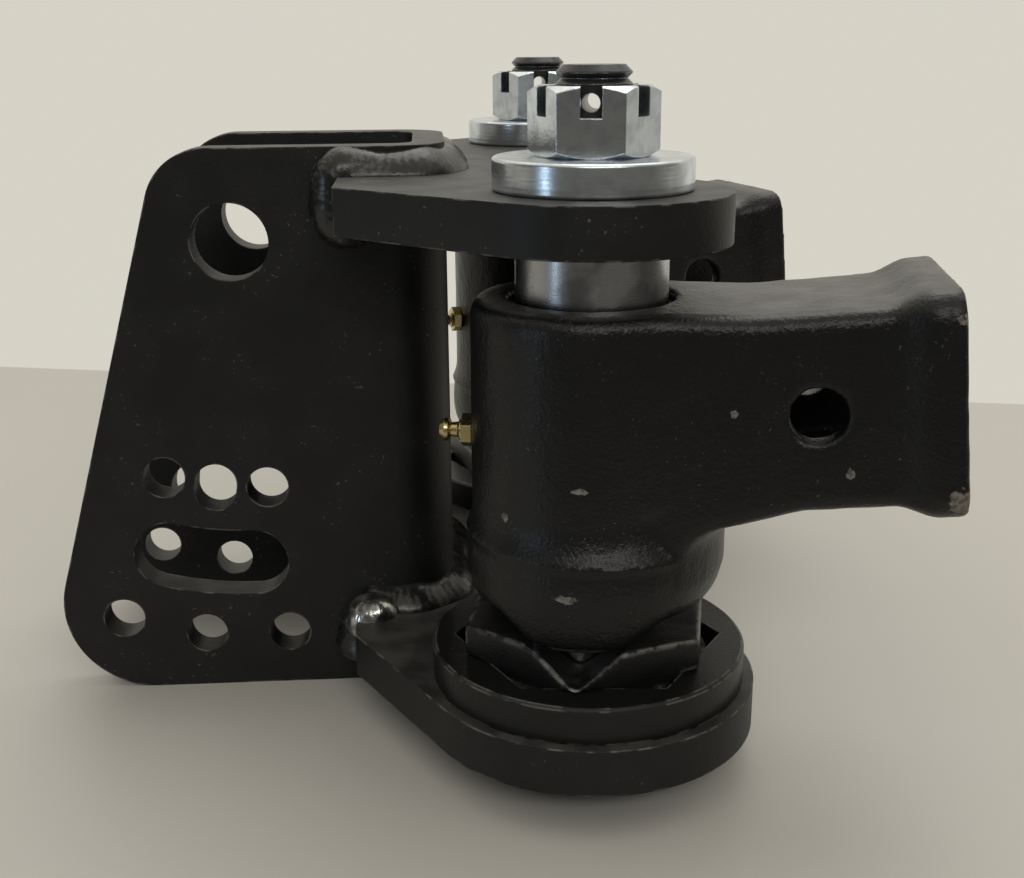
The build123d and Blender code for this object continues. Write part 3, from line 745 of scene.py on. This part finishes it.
def casting_paint(pivot, swing, reach, side):
    direction = (math.cos(swing) * math.cos(ARM_TILT), math.sin(swing) * math.cos(ARM_TILT),
                 math.sin(ARM_TILT))

    def surface(wire):
        """Gloss dip with orange peel, thin on the crests, chipped at the mouth's rim and where it
        was knocked, with dust and tiny pale specks that are painted glints."""
        local = wire.vector("SUBTRACT", place(wire), pivot)
        reached = wire.vector("DOT_PRODUCT", local, direction, out="Value")
        broad = grain(wire, 0.014, 4.0)
        peel = grain(wire, 0.0022, 2.0)
        fine = grain(wire, 0.0009, 2.0)
        crest = edge(wire, CAST_BAND) * grain(wire, 0.004, 3.0).step(0.45, 0.62)
        near_mouth = reached.step(reach - MOUTH_NEAR, reach - MOUTH_AT)
        chips = crest * near_mouth * grain(wire, 0.006, 3.0).step(0.52, 0.58)
        ragged = 0.75 * grain(wire, 0.0016, 3.0) - 0.37
        for along_arm, outwards, above, size, wide in KNOCKS:
            spot = (pivot[0] + along_arm * math.cos(swing) - side * outwards * math.sin(swing),
                    pivot[1] + along_arm * math.sin(swing) + side * outwards * math.cos(swing),
                    pivot[2] + above)
            scaled = wire.vector("MULTIPLY", wire.vector("SUBTRACT", place(wire), spot), (1, 1, wide))
            distance = wire.vector("LENGTH", scaled, out="Value")
            chips = chips + 0.8 * (1.0 - (distance / size + 2.0 * ragged).step(0.60, 1.05))
        chip = chips.step(0.15, 0.75) * (0.40 + 0.60 * grain(wire, 0.0013, 3.0).step(0.36, 0.60))
        # Painted glints: tiny pale specks, given the dust colour.
        specks = grain(wire, 0.0010, 1.0).step(0.70, 0.76) * broad.step(0.45, 0.65)
        colour = (0.6 * crest).mix(CAST_BLACK, CAST_WORN)
        colour = (0.8 * dust(wire) + 0.7 * specks).mix(colour, COAT_DUST_AND_GLINTS)
        bare = near_mouth.mix(CHIP_PALE, CHIP_STEEL)
        return {"Base_Color": chip.mix(colour, bare),
                "Roughness": 0.27 + 0.14 * broad + 0.25 * chip,
                "Normal": bumped(wire, 0.5 * peel + 0.9 * broad + 0.6 * fine - 0.4 * chip, 0.00030,
                                 soft_normal(wire, EDGE_ROUND))}
    return surface


for side_name, side in SIDES:
    name = side_name + "_socket"
    arm = side_name + "_arm"
    joint = next(j for j in frame["joints"] if j["child"] == arm)
    pivot = tuple(joint["pos_m"])
    low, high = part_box(name)
    fitting_low, fitting_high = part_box(side_name + "_grease_fitting")
    fitting = (fitting_low + fitting_high) / 2
    swing = math.atan2(pivot[1] - fitting.y, pivot[0] - fitting.x)
    reach = (high.x - pivot[0]) / math.cos(swing)
    sag = functools.partial(droop, pivot=pivot, swing=swing, low_z=low.z, collar_z=pivot[2] + COLLAR_RISE)
    skin = cast_skin(node[name], name, SKIN_VOXEL, SKIN_RELAX, 55 + 5 * side, sag)
    paint = material(side_name + "_cast_paint", casting_paint(pivot, swing, reach, side),
                     Specular_IOR_Level=COAT_SPECULAR)
    stand_in(name, skin, paint, arm)


# Bushings and grease fittings. Plain sintered bronze rings inside the castings, and a small
# yellow zinc nipple screwed into each barrel.
BRONZE_LIGHT = (0.52, 0.36, 0.19, 1.0)
BRONZE_DARK = (0.36, 0.24, 0.12, 1.0)
YELLOW_LIGHT = (0.66, 0.55, 0.30, 1.0)
YELLOW_DARK = (0.48, 0.38, 0.18, 1.0)
FITTING_ROUND = 0.0003


def bronze(wire):
    """Even, slightly open bronze."""
    pores = grain(wire, 0.0006, 2.0)
    return {"Base_Color": pores.mix(BRONZE_LIGHT, BRONZE_DARK),
            "Roughness": 0.38 + 0.2 * pores}


def yellow_zinc(wire):
    """Yellow passivated zinc, cloudy, with its corners eased."""
    cloud = grain(wire, 0.002, 2.0)
    return {"Base_Color": cloud.mix(YELLOW_LIGHT, YELLOW_DARK),
            "Roughness": 0.18 + 0.15 * cloud,
            "Normal": soft_normal(wire, FITTING_ROUND)}


bushing_bronze = material("sintered_bronze", bronze, Metallic=1.0)
fitting_zinc = material("yellow_zinc", yellow_zinc, Metallic=1.0)
for side_name in ("left", "right"):
    dress(side_name + "_lower_bushing", bushing_bronze)
    dress(side_name + "_upper_bushing", bushing_bronze)
    dress(side_name + "_grease_fitting", fitting_zinc)

low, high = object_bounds()
